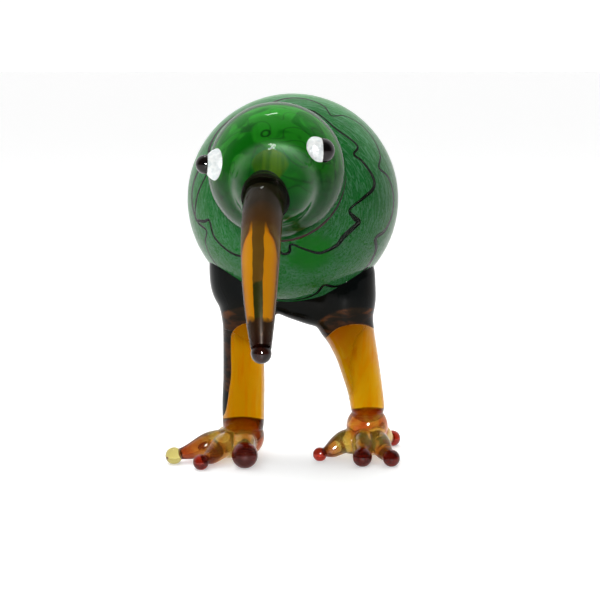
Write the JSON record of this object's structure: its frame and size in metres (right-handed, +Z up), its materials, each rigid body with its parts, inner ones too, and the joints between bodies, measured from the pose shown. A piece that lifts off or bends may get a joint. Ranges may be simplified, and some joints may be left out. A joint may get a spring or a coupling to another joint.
{
  "type": "glass bird figurine",
  "caption": "Free-standing lampworked glass bird with a cased round body, bead eyes, a long down-curved beak and splayed, beaded toes; a desk ornament with no moving parts.",
  "frame": {"origin": "centre of the bounding box in plan, at table level", "axes": "-Y is the way the beak points, +X is the bird's left, +Z is up"},
  "size_m": [0.0636, 0.1172, 0.0972],
  "materials": {
    "clear_green": "clear, polished",
    "green_core": "streaked opaque green glass",
    "head_green": "streaked opaque green glass",
    "black_thread": "black glass stringer",
    "neck_brown": "dark brown glass",
    "eye_white": "opal white glass, slightly rough",
    "pupil_black": "black glass, polished",
    "beak_amber": "streaked amber and olive glass",
    "beak_clear": "grey-brown glass, polished",
    "beak_dark": "near-black glass, polished",
    "thigh_black": "black glass, polished",
    "shank_amber": "amber glass, polished",
    "ankle_red": "red-brown glass, polished",
    "toe_amber": "amber to red-brown glass, polished",
    "bead_red": "dark red-brown glass, polished",
    "bead_yellow": "yellow-green glass, polished"
  },
  "bodies": {
    "root": {"body_core": "green_core", "body_casing": "clear_green", "feather_thread_front": "black_thread", "feather_thread_middle": "black_thread", "feather_thread_rear": "black_thread", "neck_thread": "neck_brown", "head_core": "head_green", "head_casing": "clear_green", "snout": "clear_green", "left_eye_white": "eye_white", "right_eye_white": "eye_white", "left_pupil": "pupil_black", "right_pupil": "pupil_black", "beak_core": "beak_amber", "beak_casing": "beak_clear", "beak_collar": "beak_clear", "beak_tip": "beak_dark", "left_thigh": "thigh_black", "right_thigh": "thigh_black", "hip_bridge": "thigh_black", "left_shank": "shank_amber", "right_shank": "shank_amber", "right_thigh_drip": "thigh_black", "left_ankle": "ankle_red", "right_ankle": "ankle_red", "left_outer_toe": "toe_amber", "left_middle_toe": "toe_amber", "left_inner_toe": "toe_amber", "left_hind_toe": "toe_amber", "right_outer_toe": "toe_amber", "right_middle_toe": "toe_amber", "right_inner_toe": "toe_amber", "right_hind_toe": "toe_amber", "left_outer_bead": "bead_red", "left_middle_bead": "bead_red", "left_inner_bead": "bead_red", "left_hind_bead": "bead_red", "right_outer_bead": "bead_yellow", "right_middle_bead": "bead_red", "right_inner_bead": "bead_red", "right_hind_bead": "bead_red"}
  },
  "joints": []
}
